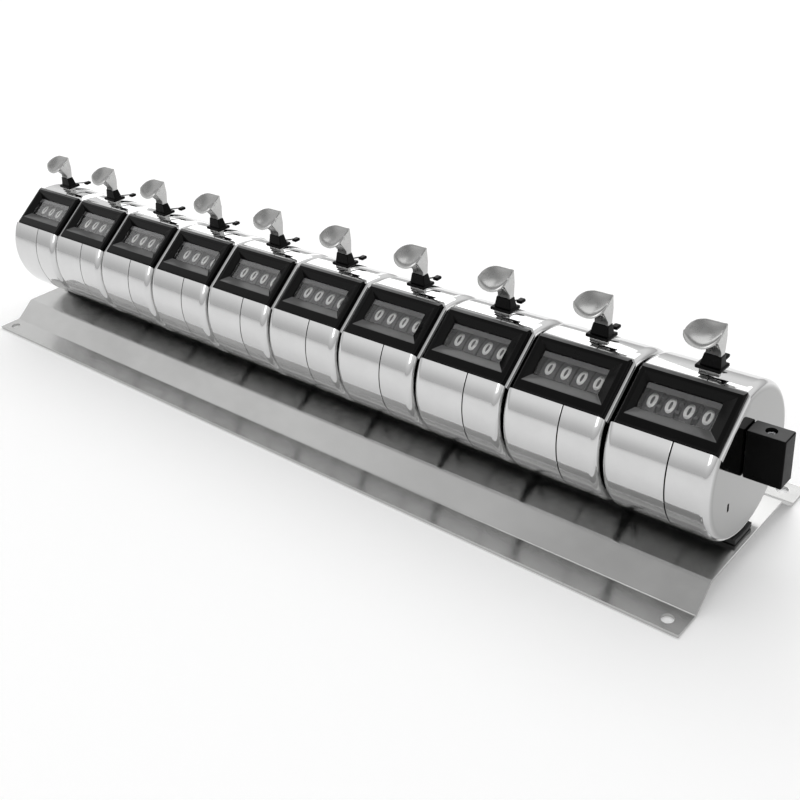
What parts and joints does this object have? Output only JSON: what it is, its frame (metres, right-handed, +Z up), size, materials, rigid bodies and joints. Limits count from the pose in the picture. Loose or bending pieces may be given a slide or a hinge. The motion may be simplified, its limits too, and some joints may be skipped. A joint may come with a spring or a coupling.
{
  "type": "multi-unit tally counter",
  "caption": "Row of drum tally counters on a bent sheet base, each with a thumb lever and windowed number wheels, all reset by one knob on a shaft through the row.",
  "frame": {"origin": "centre of the bounding box at the underside of the base's flanges", "axes": "+X along the row towards the reset knob, -Y the side that the windows face, +Z up"},
  "size_m": [0.3456, 0.0776, 0.0705],
  "materials": {
    "chrome": "bright nickel or chrome plate",
    "lever_chrome": "plated, with a blackened stem",
    "stainless_sheet": "polished sheet with a fine grain along its length",
    "steel": "plain turned steel",
    "bezel_black": "glossy moulded",
    "knob_black": "satin moulded",
    "rail_black": "dark satin",
    "wheel_grey": "dark grey, white figures"
  },
  "bodies": {
    "counter_body": {"base_plate": "stainless_sheet", "mounting_rail": "rail_black", "case_left_shell_01": "chrome", "case_right_shell_01": "chrome", "window_bezel_01": "bezel_black", "case_left_shell_02": "chrome", "case_right_shell_02": "chrome", "window_bezel_02": "bezel_black", "case_left_shell_03": "chrome", "case_right_shell_03": "chrome", "window_bezel_03": "bezel_black", "case_left_shell_04": "chrome", "case_right_shell_04": "chrome", "window_bezel_04": "bezel_black", "case_left_shell_05": "chrome", "case_right_shell_05": "chrome", "window_bezel_05": "bezel_black", "case_left_shell_06": "chrome", "case_right_shell_06": "chrome", "window_bezel_06": "bezel_black", "case_left_shell_07": "chrome", "case_right_shell_07": "chrome", "window_bezel_07": "bezel_black", "case_left_shell_08": "chrome", "case_right_shell_08": "chrome", "window_bezel_08": "bezel_black", "case_left_shell_09": "chrome", "case_right_shell_09": "chrome", "window_bezel_09": "bezel_black", "case_left_shell_10": "chrome", "case_right_shell_10": "chrome", "window_bezel_10": "bezel_black", "lever_return_spring_10": "steel"},
    "reset": {"reset_shaft": "steel", "reset_knob": "knob_black", "knob_set_screw": "steel"},
    "lever_01": {"thumb_lever_01": "lever_chrome"},
    "wheels_01": {"number_wheels_01": "wheel_grey"},
    "lever_02": {"thumb_lever_02": "lever_chrome"},
    "wheels_02": {"number_wheels_02": "wheel_grey"},
    "lever_03": {"thumb_lever_03": "lever_chrome"},
    "wheels_03": {"number_wheels_03": "wheel_grey"},
    "lever_04": {"thumb_lever_04": "lever_chrome"},
    "wheels_04": {"number_wheels_04": "wheel_grey"},
    "lever_05": {"thumb_lever_05": "lever_chrome"},
    "wheels_05": {"number_wheels_05": "wheel_grey"},
    "lever_06": {"thumb_lever_06": "lever_chrome"},
    "wheels_06": {"number_wheels_06": "wheel_grey"},
    "lever_07": {"thumb_lever_07": "lever_chrome"},
    "wheels_07": {"number_wheels_07": "wheel_grey"},
    "lever_08": {"thumb_lever_08": "lever_chrome"},
    "wheels_08": {"number_wheels_08": "wheel_grey"},
    "lever_09": {"thumb_lever_09": "lever_chrome"},
    "wheels_09": {"number_wheels_09": "wheel_grey"},
    "lever_10": {"thumb_lever_10": "lever_chrome"},
    "thousands_10": {"thousands_wheel_10": "wheel_grey"},
    "hundreds_10": {"hundreds_wheel_10": "wheel_grey"},
    "tens_10": {"tens_wheel_10": "wheel_grey"},
    "units_10": {"units_wheel_10": "wheel_grey"},
    "pinions_10": {"transfer_pinions_10": "steel"}
  },
  "joints": [
    {"name": "reset_turn", "type": "hinge", "parent": "counter_body", "child": "reset", "pos_m": [0.1676, -0.00161, 0.0376], "axis": [1, 0, 0], "continuous": true},
    {"name": "lever_press_01", "type": "hinge", "parent": "counter_body", "child": "lever_01", "pos_m": [-0.1553, -0.00161, 0.0376], "axis": [-1, 0, 0], "range_deg": [0, 20], "stiffness_Nm_per_rad": 0.1},
    {"name": "wheels_turn_01", "type": "hinge", "parent": "reset", "child": "wheels_01", "pos_m": [-0.1553, -0.00161, 0.0376], "axis": [1, 0, 0], "continuous": true},
    {"name": "lever_press_02", "type": "hinge", "parent": "counter_body", "child": "lever_02", "pos_m": [-0.1218, -0.00161, 0.0376], "axis": [-1, 0, 0], "range_deg": [0, 20], "stiffness_Nm_per_rad": 0.1},
    {"name": "wheels_turn_02", "type": "hinge", "parent": "reset", "child": "wheels_02", "pos_m": [-0.1218, -0.00161, 0.0376], "axis": [1, 0, 0], "continuous": true},
    {"name": "lever_press_03", "type": "hinge", "parent": "counter_body", "child": "lever_03", "pos_m": [-0.0883, -0.00161, 0.0376], "axis": [-1, 0, 0], "range_deg": [0, 20], "stiffness_Nm_per_rad": 0.1},
    {"name": "wheels_turn_03", "type": "hinge", "parent": "reset", "child": "wheels_03", "pos_m": [-0.0883, -0.00161, 0.0376], "axis": [1, 0, 0], "continuous": true},
    {"name": "lever_press_04", "type": "hinge", "parent": "counter_body", "child": "lever_04", "pos_m": [-0.0548, -0.00161, 0.0376], "axis": [-1, 0, 0], "range_deg": [0, 20], "stiffness_Nm_per_rad": 0.1},
    {"name": "wheels_turn_04", "type": "hinge", "parent": "reset", "child": "wheels_04", "pos_m": [-0.0548, -0.00161, 0.0376], "axis": [1, 0, 0], "continuous": true},
    {"name": "lever_press_05", "type": "hinge", "parent": "counter_body", "child": "lever_05", "pos_m": [-0.0213, -0.00161, 0.0376], "axis": [-1, 0, 0], "range_deg": [0, 20], "stiffness_Nm_per_rad": 0.1},
    {"name": "wheels_turn_05", "type": "hinge", "parent": "reset", "child": "wheels_05", "pos_m": [-0.0213, -0.00161, 0.0376], "axis": [1, 0, 0], "continuous": true},
    {"name": "lever_press_06", "type": "hinge", "parent": "counter_body", "child": "lever_06", "pos_m": [0.0122, -0.00161, 0.0376], "axis": [-1, 0, 0], "range_deg": [0, 20], "stiffness_Nm_per_rad": 0.1},
    {"name": "wheels_turn_06", "type": "hinge", "parent": "reset", "child": "wheels_06", "pos_m": [0.0122, -0.00161, 0.0376], "axis": [1, 0, 0], "continuous": true},
    {"name": "lever_press_07", "type": "hinge", "parent": "counter_body", "child": "lever_07", "pos_m": [0.0457, -0.00161, 0.0376], "axis": [-1, 0, 0], "range_deg": [0, 20], "stiffness_Nm_per_rad": 0.1},
    {"name": "wheels_turn_07", "type": "hinge", "parent": "reset", "child": "wheels_07", "pos_m": [0.0457, -0.00161, 0.0376], "axis": [1, 0, 0], "continuous": true},
    {"name": "lever_press_08", "type": "hinge", "parent": "counter_body", "child": "lever_08", "pos_m": [0.0792, -0.00161, 0.0376], "axis": [-1, 0, 0], "range_deg": [0, 20], "stiffness_Nm_per_rad": 0.1},
    {"name": "wheels_turn_08", "type": "hinge", "parent": "reset", "child": "wheels_08", "pos_m": [0.0792, -0.00161, 0.0376], "axis": [1, 0, 0], "continuous": true},
    {"name": "lever_press_09", "type": "hinge", "parent": "counter_body", "child": "lever_09", "pos_m": [0.1127, -0.00161, 0.0376], "axis": [-1, 0, 0], "range_deg": [0, 20], "stiffness_Nm_per_rad": 0.1},
    {"name": "wheels_turn_09", "type": "hinge", "parent": "reset", "child": "wheels_09", "pos_m": [0.1127, -0.00161, 0.0376], "axis": [1, 0, 0], "continuous": true},
    {"name": "lever_press_10", "type": "hinge", "parent": "counter_body", "child": "lever_10", "pos_m": [0.1462, -0.00161, 0.0376], "axis": [-1, 0, 0], "range_deg": [0, 20], "stiffness_Nm_per_rad": 0.1},
    {"name": "thousands_turn_10", "type": "hinge", "parent": "reset", "child": "thousands_10", "pos_m": [0.1462, -0.00161, 0.0376], "axis": [1, 0, 0], "continuous": true},
    {"name": "hundreds_turn_10", "type": "hinge", "parent": "reset", "child": "hundreds_10", "pos_m": [0.1462, -0.00161, 0.0376], "axis": [1, 0, 0], "continuous": true},
    {"name": "tens_turn_10", "type": "hinge", "parent": "reset", "child": "tens_10", "pos_m": [0.1462, -0.00161, 0.0376], "axis": [1, 0, 0], "continuous": true},
    {"name": "units_turn_10", "type": "hinge", "parent": "reset", "child": "units_10", "pos_m": [0.1462, -0.00161, 0.0376], "axis": [1, 0, 0], "continuous": true},
    {"name": "pinions_turn_10", "type": "hinge", "parent": "counter_body", "child": "pinions_10", "pos_m": [0.1462, 0.01158, 0.03527], "axis": [1, 0, 0], "continuous": true}
  ]
}
